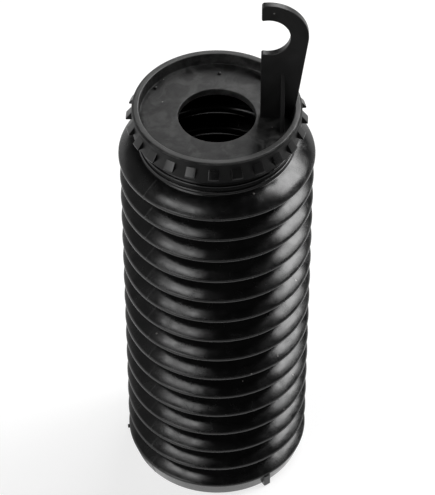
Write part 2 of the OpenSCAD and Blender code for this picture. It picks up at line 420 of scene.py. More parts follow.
def chains(name, *point_lists):
    """An object with one open chain of edges for each list of points, in the XY plane."""
    mesh = bpy.data.meshes.new(name)
    points, edges = [], []
    for chain in point_lists:
        start = len(points)
        points += [(r, z, 0.0) for r, z in chain]
        edges += [(start + i, start + i + 1) for i in range(len(chain) - 1)]
    mesh.from_pydata(points, edges, [])
    return added(name, mesh)


def applied(holder, tree, values, name):
    """The plain mesh that the tree makes of holder, as a new piece called name."""
    modifier = holder.modifiers.new(tree.name, "NODES")
    modifier.node_group = tree
    names = {s.name: s.identifier for s in tree.interface.items_tree if s.in_out == "INPUT"}
    for label, value in values.items():
        modifier[names[label]] = value
    mesh = evaluated_mesh(holder)
    mesh.name = name
    bpy.data.objects.remove(holder)
    print(name, "has", len(mesh.polygons), "faces")
    return added(name, mesh)


# %% [markdown]
# ## Grain, dust and wear
#
# Moulded rubber isn't one flat black. It has a fine grain from the mould's surface, slow waves
# where it has shrunk, a grey bloom of wax in patches, dust that sticks in specks, and crests that are
# rubbed by handling. They are made in three shader node groups, because every part of the boot
# wears them in its own strength. The groups put out only heights and masks.

# %% A helper for noise


def noise(tree, place, scale, detail, roughness=0.5, distortion=0.0):
    """A noise texture's value. The scale counts its blots on one metre."""
    values = {"Vector": place, "Scale": scale, "Detail": detail}
    values.update({"Roughness": roughness, "Distortion": distortion})
    return made(tree, "ShaderNodeTexNoise", values)


# %% Mould grain: the fine pitting and the slow waves of a rubber skin
# Each layer: scale, detail, roughness, the input that weighs it, and its height.
GRAIN_LAYERS = [
    (2600.0, 2.0, 0.5, "Pits", 0.12),
    (420.0, 3.0, 0.5, "Pits", 0.3),
    (75.0, 2.0, 0.4, "Waves", 2.4),
]
PATCH_SCALE = 190.0

inputs = {"Place": "Vector", "Pits": 1.0, "Waves": 1.0}
GRAIN, given, result = new_tree("Shader", "mould_grain", inputs, "Height", "Patches")
height = 0.0
for scale, detail, roughness, weight, tall in GRAIN_LAYERS:
    layer = noise(GRAIN, given["Place"], scale, detail, roughness)
    height = sums(GRAIN, "ADD", height, times(GRAIN, layer, given[weight], tall))
GRAIN.links.new(height, result["Height"])
GRAIN.links.new(noise(GRAIN, given["Place"], PATCH_SCALE, 5.0, 0.6, 0.4), result["Patches"])
print("group", GRAIN.name, "has", len(GRAIN_LAYERS), "layers of grain")

# %% Dust and bloom: specks that stick, and the grey wax that comes to the surface
SPECK_SCALE = 330.0
CLOUD_SCALE = 85.0
CLOUD_EDGE = (0.42, 0.66)

inputs = {"Place": "Vector", "Speck Size": 0.11, "Speck Share": 0.08, "Cloud Scale": CLOUD_SCALE}
BLOOM, given, result = new_tree("Shader", "dust_and_bloom", inputs, "Specks", "Bloom")
values = {"Vector": given["Place"], "Scale": SPECK_SCALE}
cells = put(BLOOM, "ShaderNodeTexVoronoi", values, feature="F1").outputs
near = sums(BLOOM, "LESS_THAN", cells["Distance"], given["Speck Size"])
pull = made(BLOOM, "ShaderNodeSeparateColor", {"Color": cells["Color"]})
chosen = sums(BLOOM, "LESS_THAN", pull, given["Speck Share"])
BLOOM.links.new(times(BLOOM, near, chosen), result["Specks"])
cloud = noise(BLOOM, given["Place"], given["Cloud Scale"], 5.0, 0.62, 0.8)
BLOOM.links.new(ramp(BLOOM, cloud, *CLOUD_EDGE), result["Bloom"])
print("group", BLOOM.name, "has", len(BLOOM.nodes), "nodes")

# %% Rubbed edges: where handling has greyed and polished what stands out furthest
CREST_BAND = (CREST_R - 0.8 * MM, CREST_R)
RUB_SCALE = 240.0
RUB_EDGE = (0.35, 0.65)
RUB_LEAST = 0.35

inputs = {"Place": "Vector", "From Radius": CREST_BAND[0], "To Radius": CREST_BAND[1]}
RUBBED, given, result = new_tree("Shader", "rubbed_edges", inputs, "Worn")
reach = ramp(RUBBED, axis_distance(RUBBED, given["Place"]), given["From Radius"], given["To Radius"])
broken = ramp(RUBBED, noise(RUBBED, given["Place"], RUB_SCALE, 4.0, 0.65), *RUB_EDGE, RUB_LEAST, 1.0)
RUBBED.links.new(times(RUBBED, reach, broken), result["Worn"])
print("group", RUBBED.name, "has", len(RUBBED.nodes), "nodes")

# %% [markdown]
# ## The rubber finishes
#
# All of the boot is one rubber, but the mould's surface differs from place to place. The folds come
# from a polished mould and shine. The head's floor is dull and blotchy, and rubbed round the rod
# hole. The rim's lighter grey is a painted highlight, standing in for the softboxes that it mirrors.
# The lugs and the hook are smooth and dark, and the collar behind the lugs and the hook's rib are
# dull. One function makes all six finishes from the same groups, so that the boot still looks like
# one piece.

# %% Helpers for a finish


def coloured(tree, factor, a, b):
    """Colour a where factor is 0 and colour b where it is 1."""
    mix = put(tree, "ShaderNodeMix", {"Factor": factor, "A": a, "B": b}, data_type="RGBA")
    return pick(mix.outputs, "Result")


def rubbed_mask(tree, place, band):
    """How rubbed the skin is, rising from the band's first radius to its second."""
    values = {"Place": place, "From Radius": band[0], "To Radius": band[1]}
    return put(tree, "ShaderNodeGroup", values, node_tree=RUBBED).outputs["Worn"]


# %% One function for all the rubber finishes
DUST_GREY = (0.16, 0.155, 0.148, 1.0)
BUMP_DEPTH = 0.03 * MM
PATCH_EDGE = (0.3, 0.7)
GREY_ROUGHENS = 0.1
DULL_ROUGHENS = 0.4


def rubber(
    name, black, grey, roughness, spread, bloom, worn, pits, waves,
    rubbed_band=CREST_BAND, dull_band=None, clouds=CLOUD_SCALE, specular=0.5
):
    """A satin black rubber: black at its darkest, grey where it has bloomed or is rubbed."""
    material = bpy.data.materials.new(name)
    material.use_nodes = True
    tree = material.node_tree
    shader = tree.nodes["Principled BSDF"].inputs
    shader["Specular IOR Level"].default_value = specular
    place = put(tree, "ShaderNodeTexCoord").outputs["Object"]
    values = {"Place": place, "Pits": pits, "Waves": waves}
    grain = put(tree, "ShaderNodeGroup", values, node_tree=GRAIN).outputs
    values = {"Place": place, "Cloud Scale": clouds}
    dust = put(tree, "ShaderNodeGroup", values, node_tree=BLOOM).outputs

    bloomed = times(tree, dust["Bloom"], bloom)
    rubbed = times(tree, rubbed_mask(tree, place, rubbed_band), worn)
    greyed = sums(tree, "ADD", bloomed, rubbed, clamp=True)
    base = coloured(tree, greyed, (*black, 1.0), (*grey, 1.0))
    tree.links.new(coloured(tree, dust["Specks"], base, DUST_GREY), shader["Base Color"])

    rough = ramp(tree, grain["Patches"], *PATCH_EDGE, roughness - spread, roughness + spread)
    if dull_band:
        dull = times(tree, rubbed_mask(tree, place, dull_band), DULL_ROUGHENS)
        rough = sums(tree, "ADD", rough, dull)
    rough = sums(tree, "ADD", rough, times(tree, greyed, GREY_ROUGHENS))
    tree.links.new(rough, shader["Roughness"])

    values = {"Strength": 1.0, "Distance": BUMP_DEPTH, "Height": grain["Height"]}
    tree.links.new(made(tree, "ShaderNodeBump", values), shader["Normal"])
    print(name, "is", roughness, "rough")
    return material


# %% Finishes of the folds and of the head's floor
HOLE_BAND = (21.0 * MM, 13.5 * MM)
CORNER_BAND = (24.3 * MM, 25.2 * MM)
HEAD_CLOUD_SCALE = 150.0

FOLD_RUBBER = rubber(
    "fold_rubber", (0.0025, 0.0025, 0.0026), (0.014, 0.014, 0.014),
    roughness=0.22, spread=0.06, bloom=0.15, worn=0.5, pits=0.5, waves=0.8
)
HEAD_RUBBER = rubber(
    "head_rubber", (0.0, 0.0, 0.0), (0.038, 0.038, 0.0373),
    roughness=0.45, spread=0.14, bloom=0.7, worn=0.4, pits=1.0, waves=0.5,
    rubbed_band=HOLE_BAND, dull_band=CORNER_BAND, clouds=HEAD_CLOUD_SCALE
)

# %% Finishes of the lugs, the rim, the hook and the dull places
LUG_RUBBER = rubber(
    "lug_rubber", (0.003, 0.003, 0.0031), (0.012, 0.012, 0.0118),
    roughness=0.30, spread=0.04, bloom=0.4, worn=0.0, pits=1.0, waves=0.5
)
# The rim's light grey base is a painted highlight of the softboxes it mirrors; its grey patches are
# bloom.
RIM_PAINTED_HIGHLIGHT = rubber(
    "rim_painted_highlight", (0.040, 0.040, 0.0395), (0.070, 0.070, 0.069),
    roughness=0.42, spread=0.05, bloom=0.5, worn=0.0, pits=0.8, waves=0.3
)
HOOK_RUBBER = rubber(
    "hook_rubber", (0.003, 0.003, 0.0031), (0.010, 0.010, 0.010),
    roughness=0.38, spread=0.04, bloom=0.3, worn=0.0, pits=0.6, waves=0.3
)
DULL_RUBBER = rubber(
    "dull_rubber", (0.002, 0.002, 0.0021), (0.008, 0.008, 0.008),
    roughness=0.55, spread=0.05, bloom=0.3, worn=0.0, pits=0.6, waves=0.3, specular=0.25
)

# %% [markdown]
# ## The folded skin
#
# Fourteen equal folds could be drawn point by point, but a zigzag says it better: points that step
# up by half a pitch, odd ones out at the crests, even ones in at the valleys, and Fillet Curve
# rounds each corner. The same tree draws the outside and the inside of the wall, because the wall
# only shifts the zigzag inwards and changes the sizes of the roundings.

# %% A tree that draws one side of the folds
CORNER_POINTS = 8

inputs = {
    "Folds": FOLDS,
    "Pitch": FOLD_PITCH,
    "First Valley": FIRST_VALLEY,
    "Crest Corner": CREST_CORNER,
    "Valley Corner": VALLEY_CORNER,
    "Crest Rounding": CREST_ROUND,
    "Valley Rounding": VALLEY_ROUND,
    "Corner Points": CORNER_POINTS,
    "Crown": FACE_CROWN,
    "Face Cuts": FACE_CUTS,
}
SIDE, given, result = new_tree("Geometry", "fold_side", inputs, "Edges")
count = times(SIDE, given["Folds"], 2.0)
last = sums(SIDE, "SUBTRACT", count, 1.0)
index = made(SIDE, "GeometryNodeInputIndex")
is_crest = sums(SIDE, "MODULO", index, 2.0)
is_first = sums(SIDE, "LESS_THAN", index, 0.5)
is_last = sums(SIDE, "GREATER_THAN", index, sums(SIDE, "SUBTRACT", last, 0.5))
is_end = sums(SIDE, "ADD", is_first, is_last)

# %% The tree puts the zigzag's points in place
corner = blend(SIDE, is_crest, given["Valley Corner"], given["Crest Corner"])
middle = blend(SIDE, 0.5, given["Valley Corner"], given["Crest Corner"])
x = blend(SIDE, is_end, corner, middle)
end_shift = times(SIDE, sums(SIDE, "SUBTRACT", is_first, is_last), 0.25)
steps_up = sums(SIDE, "ADD", times(SIDE, index, 0.5), end_shift)
y = sums(SIDE, "ADD", given["First Valley"], times(SIDE, steps_up, given["Pitch"]))
point = made(SIDE, "ShaderNodeCombineXYZ", {"X": x, "Y": y})
line = made(SIDE, "GeometryNodeMeshLine", {"Count": count}, mode="OFFSET", count_mode="TOTAL")
zigzag = made(SIDE, "GeometryNodeSetPosition", {"Geometry": line, "Position": point})
curve = made(SIDE, "GeometryNodeMeshToCurve", {"Mesh": zigzag})
rounding = blend(SIDE, is_crest, given["Valley Rounding"], given["Crest Rounding"])
values = {"Curve": curve, "Count": given["Corner Points"], "Radius": rounding}
rounded = made(SIDE, "GeometryNodeFilletCurve", values, mode="POLY")
print("tree", SIDE.name, "draws", FOLDS, "folds")

# %% The tree cuts each upper face and lifts the cuts
LONG_RUN = 2.0 * MM

here = made(SIDE, "GeometryNodeInputPosition")
values = {"Value": here, "Index": sums(SIDE, "ADD", index, 1.0)}
ahead = put(SIDE, "GeometryNodeFieldAtIndex", values, domain="POINT", data_type="FLOAT_VECTOR")
gap = measured(SIDE, "DISTANCE", here, pick(ahead.outputs, "Value"))
cuts = times(SIDE, sums(SIDE, "GREATER_THAN", gap, LONG_RUN), given["Face Cuts"])
cut_curve = made(SIDE, "GeometryNodeSubdivideCurve", {"Curve": rounded, "Cuts": cuts})
spot = put(SIDE, "ShaderNodeSeparateXYZ", {"Vector": here}).outputs
share = ramp(SIDE, spot["X"], FACE_OUTER_R, FACE_INNER_R, smooth=False)
rise = sums(SIDE, "POWER", share, RISE_POWER)
fall = sums(SIDE, "POWER", sums(SIDE, "SUBTRACT", 1.0, share), FALL_POWER)
lift = times(SIDE, rise, fall, given["Crown"])
climb = sums(SIDE, "SUBTRACT", spot["Y"], given["First Valley"])
phase = sums(SIDE, "FRACT", sums(SIDE, "DIVIDE", climb, given["Pitch"]))
upper = times(SIDE, lift, sums(SIDE, "GREATER_THAN", phase, 0.5))
values = {0: (SLANT, LEVEL, 0.0), "Scale": upper}
outwards = made(SIDE, "ShaderNodeVectorMath", values, operation="SCALE")
crowned = made(SIDE, "GeometryNodeSetPosition", {"Geometry": cut_curve, "Offset": outwards})
SIDE.links.new(made(SIDE, "GeometryNodeCurveToMesh", {"Curve": crowned}), result["Edges"])
print("tree", SIDE.name, "cuts each upper face", FACE_CUTS, "times")

# %% [markdown]
# ## The whole wall, turned about the axis
#
# The boot's wall is a solid of revolution. The tree joins the two drawn ends with the two sides
# of the folds, merges their touching points into one closed loop, and sweeps the loop round a
# circle. A Spin in mesh code would do as well, but here the number of folds stays an input. The
# finishes are set in the same tree by where a face lies: above the neck it is the head, far out
# it is the collar, and on top it is the rim.

# %% A tree for the wall, with the two sides of the folds
FACETS_ROUND = 148
INNER_CORNER_POINTS = 4
ZONE_MARGIN = 0.1 * MM

inputs = {
    "Section Ends": "Geometry",
    "Folds": FOLDS,
    "Pitch": FOLD_PITCH,
    "First Valley": FIRST_VALLEY,
    "Wall Shift": WALL_SHIFT,
    "Inner Crest Rounding": ROOT_ROUND,
    "Inner Valley Rounding": VALLEY_ROUND + WALL,
    "Facets Round": FACETS_ROUND,
    "Head Starts At": COLLAR_Z - ZONE_MARGIN,
    "Fold Finish": "Material",
    "Head Finish": "Material",
    "Collar Finish": "Material",
    "Rim Finish": "Material",
}
BOOT, given, result = new_tree("Geometry", "bellows_wall", inputs, "Wall")
shared = {"Folds": given["Folds"], "Pitch": given["Pitch"], "First Valley": given["First Valley"]}
inner = {
    "Crest Corner": sums(BOOT, "SUBTRACT", CREST_CORNER, given["Wall Shift"]),
    "Valley Corner": sums(BOOT, "SUBTRACT", VALLEY_CORNER, given["Wall Shift"]),
    "Crest Rounding": given["Inner Crest Rounding"],
    "Valley Rounding": given["Inner Valley Rounding"],
    "Corner Points": INNER_CORNER_POINTS,
    "Crown": 0.0,
    "Face Cuts": 0,
}
outside = made(BOOT, "GeometryNodeGroup", shared, node_tree=SIDE)
inside = made(BOOT, "GeometryNodeGroup", {**shared, **inner}, node_tree=SIDE)
print("tree", BOOT.name, "uses", SIDE.name, "twice")

# %% The tree turns the section round and sets the finishes
TURNING_R = 10.0 * MM

loop = joined_loop(BOOT, given["Section Ends"], outside, inside)
section = moved(BOOT, loop, Translation=(-TURNING_R, 0.0, 0.0), Scale=(1.0, -1.0, 1.0))
values = {"Curve": circle(BOOT, given["Facets Round"], TURNING_R), "Profile Curve": section}
swept = made(BOOT, "GeometryNodeCurveToMesh", values)
dressed = made_real(BOOT, swept, given["Fold Finish"])

place = made(BOOT, "GeometryNodeInputPosition")
up = put(BOOT, "ShaderNodeSeparateXYZ", {"Vector": place}).outputs["Z"]
out = axis_distance(BOOT, place)
for finish, above, beyond in (
    ("Head Finish", given["Head Starts At"], 0.0),
    ("Collar Finish", given["Head Starts At"], COLLAR_R - ZONE_MARGIN),
    ("Rim Finish", RIM_Z - ZONE_MARGIN, DISH_R),
):
    high = sums(BOOT, "GREATER_THAN", up, above)
    chosen = times(BOOT, high, sums(BOOT, "GREATER_THAN", out, beyond))
    values = {"Geometry": dressed, "Selection": chosen, "Material": given[finish]}
    dressed = made(BOOT, "GeometryNodeSetMaterial", values)
BOOT.links.new(dressed, result["Wall"])
print("tree", BOOT.name, "has", len(BOOT.nodes), "nodes")

# %% Helpers that finish a piece
SHARP_DEGREES = 38.0
PLATE_SHARP_DEGREES = 30.0


def weigh_normals(piece):
    """Lets large faces set the normals, so a flat face shades flat up to its rounding."""
    modifier = piece.modifiers.new("weigh_normals", "WEIGHTED_NORMAL")
    modifier.mode = "FACE_AREA"
    modifier.weight = 100
    modifier.keep_sharp = True
    plain, weighed = piece.data, evaluated_mesh(piece)
    piece.modifiers.clear()
    piece.data = weighed
    name = plain.name
    bpy.data.meshes.remove(plain)
    weighed.name = name


def finish_mesh(piece, sharp_degrees):
    """Points the faces outwards and shades them smooth up to a sharp angle."""
    mesh = piece.data
    shell = bmesh.new()
    shell.from_mesh(mesh)
    bmesh.ops.recalc_face_normals(shell, faces=shell.faces)
    if shell.calc_volume(signed=True) < 0:
        bmesh.ops.reverse_faces(shell, faces=shell.faces)
    volume = shell.calc_volume(signed=True)
    open_edges = sum(1 for edge in shell.edges if not edge.is_manifold)
    shell.to_mesh(mesh)
    shell.free()
    mesh.shade_smooth()
    mesh.set_sharp_from_angle(angle=math.radians(sharp_degrees))
    weigh_normals(piece)
    print(piece.name, "holds", round(volume * 1e9), "mm3, open edges:", open_edges)


def dress(piece, sharp_degrees=SHARP_DEGREES):
    """Finishes a piece, parents it to the boot's root, and hides the CAD solid in its place."""
    finish_mesh(piece, sharp_degrees)
    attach(piece, "root")
    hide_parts("bellows_boot")


# %% Make the wall
section_ends = chains("section_ends", cuff_section, head_section)
values = {"Fold Finish": FOLD_RUBBER, "Head Finish": HEAD_RUBBER}
values.update({"Collar Finish": DULL_RUBBER, "Rim Finish": RIM_PAINTED_HIGHLIGHT})
dress(applied(section_ends, BOOT, values, "boot_wall"))

# %% [markdown]
# ## The mould lines
#
# The boot is cast in a mould of two halves, and where they meet a hair of rubber stands up. It runs
# up the folds at the left front, and again right opposite. The line follows the section, so a
# tree sweeps a hair-thin profile along the section's outside and sets it at both places.

# %% A tree that lays a hair along the folds
HAIR_SIDES = 8

inputs = {
    "Section Ends": "Geometry",
    "Folds": FOLDS,
    "Hair Radius": 0.22 * MM,
    "Sunk": 0.12 * MM,
    "Turn": 0.0,
    "Finish": "Material",
}
SEAM, given, result = new_tree("Geometry", "mould_line", inputs, "Line")
folds = made(SEAM, "GeometryNodeGroup", {"Folds": given["Folds"]}, node_tree=SIDE)
path = joined_loop(SEAM, given["Section Ends"], folds)
hair = circle(SEAM, HAIR_SIDES, given["Hair Radius"])
values = {"Curve": path, "Profile Curve": hair, "Fill Caps": True}
ridge = made(SEAM, "GeometryNodeCurveToMesh", values)
inwards = made(SEAM, "ShaderNodeCombineXYZ", {"X": times(SEAM, given["Sunk"], -1.0)})
sunk = moved(SEAM, ridge, Translation=inwards)
standing = moved(SEAM, sunk, Rotation=(math.pi / 2, 0.0, 0.0))
halves = put(SEAM, "GeometryNodeJoinGeometry")
for half in (0.0, math.pi):
    angle = sums(SEAM, "ADD", given["Turn"], half)
    turned = made(SEAM, "ShaderNodeCombineXYZ", {"Z": angle})
    SEAM.links.new(moved(SEAM, standing, Rotation=turned), halves.inputs[0])
SEAM.links.new(made_real(SEAM, halves.outputs[0], given["Finish"]), result["Line"])

# %% Make the mould lines, which end a little before the neck
LINE_TURN = -137.0

line_ends = chains("line_ends", cuff_outside, shoulder_outside[:-1])
values = {"Turn": math.radians(LINE_TURN), "Finish": FOLD_RUBBER}
dress(applied(line_ends, SEAM, values, "mould_lines"))

# %% [markdown]
# ## The catch lugs
#
# Twenty-four small ramps stand round the collar and catch behind the strut mount's edge when the head
# is pushed in. One lug is drawn as a wedge with broken edges, and a tree sets copies of it round
# the axis. An Array modifier with a turning empty would need a second object, and the tree needs
# only a count and a first angle. The lugs are smoother than the collar behind them, so that two at
# the left front mirror a bright window.

# %% Helpers for pieces built face by face
HARD_TURN = math.radians(25.0)


def break_edges(shape, width, segments):
    """Bevels each edge at which the faces turn hard."""
    bmesh.ops.recalc_face_normals(shape, faces=shape.faces)
    hard = [e for e in shape.edges if e.calc_face_angle(0.0) > HARD_TURN]
    bmesh.ops.bevel(shape, geom=hard, offset=width, segments=segments, affect="EDGES", profile=0.5)


def loft(shape, rows):
    """Closes the sides between rows of points, and caps the first row and the last."""
    for low, high in zip(rows, rows[1:]):
        for i in range(len(low)):
            j = (i + 1) % len(low)
            shape.faces.new((low[i], low[j], high[j], high[i]))
    shape.faces.new(list(reversed(rows[0])))
    shape.faces.new(rows[-1])


def piece_of(shape, name, *finishes):
    """The shape as a new object."""
    mesh = bpy.data.meshes.new(name)
    shape.to_mesh(mesh)
    shape.free()
    for finish in finishes:
        mesh.materials.append(finish)
    return added(name, mesh)


# %% One lug
LUG_COUNT = 24
LUG_ANGLE = 6.8
LUG_TURN = 2.0
LUG_OUT = 2.0 * MM
LUG_HEIGHT = 3.2 * MM
LUG_LAND = 0.5 * MM
LUG_LIFT = 3.0 * MM
LUG_ROOT = 0.7 * MM
LUG_BREAK = 0.18 * MM
LUG_STEPS = 4


def wedge(name):
    """A lug that stands out along +X, its back buried in the collar."""
    foot = COLLAR_Z + LUG_LIFT
    slope = (LUG_HEIGHT - LUG_LAND) / LUG_OUT
    profile = [
        (COLLAR_R - LUG_ROOT, foot),
        (COLLAR_R + LUG_OUT, foot),
        (COLLAR_R + LUG_OUT, foot + LUG_LAND),
        (COLLAR_R - LUG_ROOT, foot + LUG_HEIGHT + LUG_ROOT * slope),
    ]
    lug = bmesh.new()
    rows = []
    for step in range(LUG_STEPS + 1):
        turn = math.radians(LUG_ANGLE * (step / LUG_STEPS - 0.5))
        spots = [(r * math.cos(turn), r * math.sin(turn), z) for r, z in profile]
        rows.append([lug.verts.new(p) for p in spots])
    loft(lug, rows)
    break_edges(lug, LUG_BREAK, 2)
    return piece_of(lug, name)


# %% A tree that sets a piece round the axis
inputs = {"Lug": "Geometry", "Count": LUG_COUNT, "First Angle": 0.0, "Finish": "Material"}
RING, given, result = new_tree("Geometry", "ring_of_lugs", inputs, "Ring")
values = {"Count": given["Count"], "Offset": (0.0, 0.0, 0.0)}
spots = made(RING, "GeometryNodeMeshLine", values, mode="OFFSET", count_mode="TOTAL")
index = made(RING, "GeometryNodeInputIndex")
step = sums(RING, "DIVIDE", 2 * math.pi, given["Count"])
angle = sums(RING, "ADD", times(RING, index, step), given["First Angle"])
turned = made(RING, "ShaderNodeCombineXYZ", {"Z": angle})
values = {"Points": spots, "Instance": given["Lug"], "Rotation": turned}
copies = made(RING, "GeometryNodeInstanceOnPoints", values)
RING.links.new(made_real(RING, copies, given["Finish"]), result["Ring"])

# %% Make the ring of lugs
values = {"First Angle": math.radians(-90.0 - LUG_TURN), "Finish": LUG_RUBBER}
dress(applied(wedge("one_lug"), RING, values, "catch_lugs"))

# %% [markdown]
# ## The standing hook
#
# The hook is a flat tongue that stands on the dish floor and ends in an open C-shaped eye, for a pipe
# or a cable. Its outline is straight lines and arcs, so it is drawn as one polygon, given its
# thickness, and its edges are broken by a bevel, which catches the light as the real edges do. A
# thin rib props it on the front side.

# %% Sizes of the hook
FOOT_ROOT = 0.7 * MM
HOOK_THICKNESS = 2.4 * MM
HOOK_X = ROD_HOLE_R + 1.4 * MM
EYE_R = 7.2 * MM
EYE_REACH = 2.2 * MM
HOOK_R = EYE_R + 6.0 * MM
EYE = Vector((HOOK_X + EYE_REACH, FLOOR_Z + 34.8 * MM))
FOOT_GAP = 1.2 * MM
RIM_GAP = 0.2 * MM
KNEE_HEIGHT = 3.1 * MM
LIP_CHAMFER = 0.6 * MM
# Degrees by which the outer and the inner arc stop short of the tongue's front.
ARM_CUT, LIP_CUT = 2.2, 3.5

# %% Outline of the hook's plate
foot_x = DISH_R - FOOT_GAP
back_lean = (FOOT_GAP - RIM_GAP) / DISH_DEPTH
knee = Vector((foot_x + back_lean * (DISH_DEPTH + KNEE_HEIGHT), RIM_Z + KNEE_HEIGHT))
to_eye = knee - EYE
back_turn = math.degrees(math.atan2(to_eye.y, to_eye.x) + math.acos(HOOK_R / to_eye.length))
lip_drop = math.sqrt(EYE_R**2 - EYE_REACH**2)
arm_rise = math.sqrt(HOOK_R**2 - EYE_REACH**2)
arm_turn = math.degrees(math.atan2(arm_rise, -EYE_REACH)) - ARM_CUT
lip_turn = math.degrees(math.atan2(lip_drop, -EYE_REACH)) - LIP_CUT

outline = [(HOOK_X, FLOOR_Z - FOOT_ROOT), (foot_x, FLOOR_Z - FOOT_ROOT), (foot_x, FLOOR_Z)]
outline += [tuple(knee)]
outline += arc(EYE, HOOK_R, back_turn, arm_turn, 40)
outline += [(HOOK_X, EYE.y + arm_rise - LIP_CHAMFER), (HOOK_X, EYE.y + lip_drop + LIP_CHAMFER)]
outline += arc(EYE, EYE_R, lip_turn, -lip_turn, 48)
outline += [(HOOK_X, EYE.y - lip_drop - LIP_CHAMFER)]
print("hook outline has", len(outline), "points, eye at", [round(v / MM, 2) for v in EYE])

# %% Give the plate and its rib their thickness
HOOK_BREAK = 0.3 * MM
THIN_BREAK = 0.25 * MM
RIB_THICKNESS = 1.3 * MM
RIB_X = HOOK_X + 7.2 * MM
RIB_HEIGHT = 19.3 * MM
RIB_OUT = 7.6 * MM
RIB_FRONT = -HOOK_THICKNESS / 2
rib_profile = [
    (0.0, RIB_HEIGHT),
    (RIB_FRONT, RIB_HEIGHT),
    (RIB_FRONT - RIB_OUT, 0.0),
    (RIB_FRONT - RIB_OUT, -FOOT_ROOT),
    (0.0, -FOOT_ROOT),
]


def plate(name, points, across, width, finish):
    """A flat piece with broken edges. across maps a point and a side, 0 or 1, into space."""
    slab = bmesh.new()
    loft(slab, [[slab.verts.new(across(p, side)) for p in points] for side in (0, 1)])
    break_edges(slab, width, 3)
    return piece_of(slab, name, finish)


def across_hook(point, side):
    return (point[0], (side - 0.5) * HOOK_THICKNESS, point[1])


def across_rib(point, side):
    return (RIB_X + (side - 0.5) * RIB_THICKNESS, point[0], FLOOR_Z + point[1])


for piece in (
    plate("standing_hook", outline, across_hook, HOOK_BREAK, HOOK_RUBBER),
    plate("hook_rib", rib_profile, across_rib, THIN_BREAK, DULL_RUBBER),
):
    dress(piece, PLATE_SHARP_DEGREES)

# %% [markdown]
# ## Pips, nub and tab
#
# Four small marks are left by the mould. Two pips stand on the dish floor where the rubber was let
# in, a little nub at the left of the cuff is where the mould let the air out, and a flat tab stands
# out of the cuff at the right front. They are too few to repeat, so each is turned or cut in mesh
# code.

# %% A helper for a small turned pip
PIP_ROUND = 0.3 * MM
PIP_SIDES = 20


def pip(name, radius, height, root, finish):
    """A round pip that stands on its own root along +Z, its top edge rounded."""
    profile = [(radius, -root), (radius, 0.0)]
    profile += arc((radius - PIP_ROUND, height - PIP_ROUND), PIP_ROUND, 0, 80, 4)
    turns = [2 * math.pi * i / PIP_SIDES for i in range(PIP_SIDES)]
    shape = bmesh.new()
    rows = []
    for r, z in profile:
        rows.append([shape.verts.new((r * math.cos(a), r * math.sin(a), z)) for a in turns])
    loft(shape, rows)
    return piece_of(shape, name, finish)


# %% Two pips on the floor
PIP_R = 0.6 * MM
PIP_HEIGHT = 0.7 * MM
# Each place: the angle round the axis in degrees, and the distance in from the dish's wall.
PIP_PLACES = [(147.0, 1.3 * MM), (87.5, 5.2 * MM)]

for number, (angle, inset) in enumerate(PIP_PLACES, 1):
    piece = pip(f"floor_pip_{number}", PIP_R, PIP_HEIGHT, FOOT_ROOT, HEAD_RUBBER)
    reach, turn = DISH_R - inset, math.radians(angle)
    spot = (reach * math.cos(turn), reach * math.sin(turn), FLOOR_Z)
    piece.data.transform(Matrix.Translation(spot))
    dress(piece)

# %% Nub on the cuff
MARK_TOP = CUFF_HEIGHT - 0.3 * MM
MARK_ROOT = CUFF_TAPER + FOOT_ROOT
NUB_R = 0.7 * MM
NUB_OUT = 0.6 * MM
NUB_TURN = -175.0

nub = pip("cuff_nub", NUB_R, NUB_OUT, MARK_ROOT, FOLD_RUBBER)
nub.data.transform(
    Matrix.Rotation(math.radians(NUB_TURN), 4, "Z")
    @ Matrix.Translation((CREST_R, 0.0, MARK_TOP - NUB_R))
    @ Matrix.Rotation(math.pi / 2, 4, "Y")
)
dress(nub)

# %% Tab on the cuff
TAB_WIDTH = 2.6 * MM
TAB_OUT = 0.4 * MM
TAB_TURN = -56.0
tab_face = [
    (CREST_R - MARK_ROOT, EDGE_ROUND),
    (CREST_R + TAB_OUT, EDGE_ROUND),
    (CREST_R + TAB_OUT, MARK_TOP),
    (CREST_R - MARK_ROOT, MARK_TOP),
]


def across_tab(point, side):
    return (point[0], (side - 0.5) * TAB_WIDTH, point[1])


tab = plate("cuff_tab", tab_face, across_tab, THIN_BREAK, FOLD_RUBBER)
tab.data.transform(Matrix.Rotation(math.radians(TAB_TURN), 4, "Z"))
dress(tab, PLATE_SHARP_DEGREES)

# %% [markdown]
# ## The floor
#
# The boot stands on white paper. Black rubber shows little of its own colour: what is seen on it is
# the studio, mirrored, and the floor is half of that studio. To the camera the paper is white and
# keeps the boot's soft shadow. To mirrored rays it is white behind the boot and dark in front, as
# if a black card lay there. The paper shows again beyond the card, and as a narrow strip at the
# cuff, which the cuff's side mirrors. From below, the paper lets the camera through.

# %% What the rubber mirrors of the floor
FLOOR_SIZE = 6.0
CARD_EDGE, CARD_FAR = -0.1265, (-0.36, -0.50)
CARD_SLANT = 0.325
CARD_SOFT = 0.02
CARD_GLOW, MIRRORED_GLOW, STRIP_GLOW = 0.05, 1.1, 1.12
SHADE_GLOW, SHADE_REACH = 0.3, (0.04, 0.07)
STRIP_REACH, STRIP_FRONT = (0.05, 0.035), (0.0, -0.02)


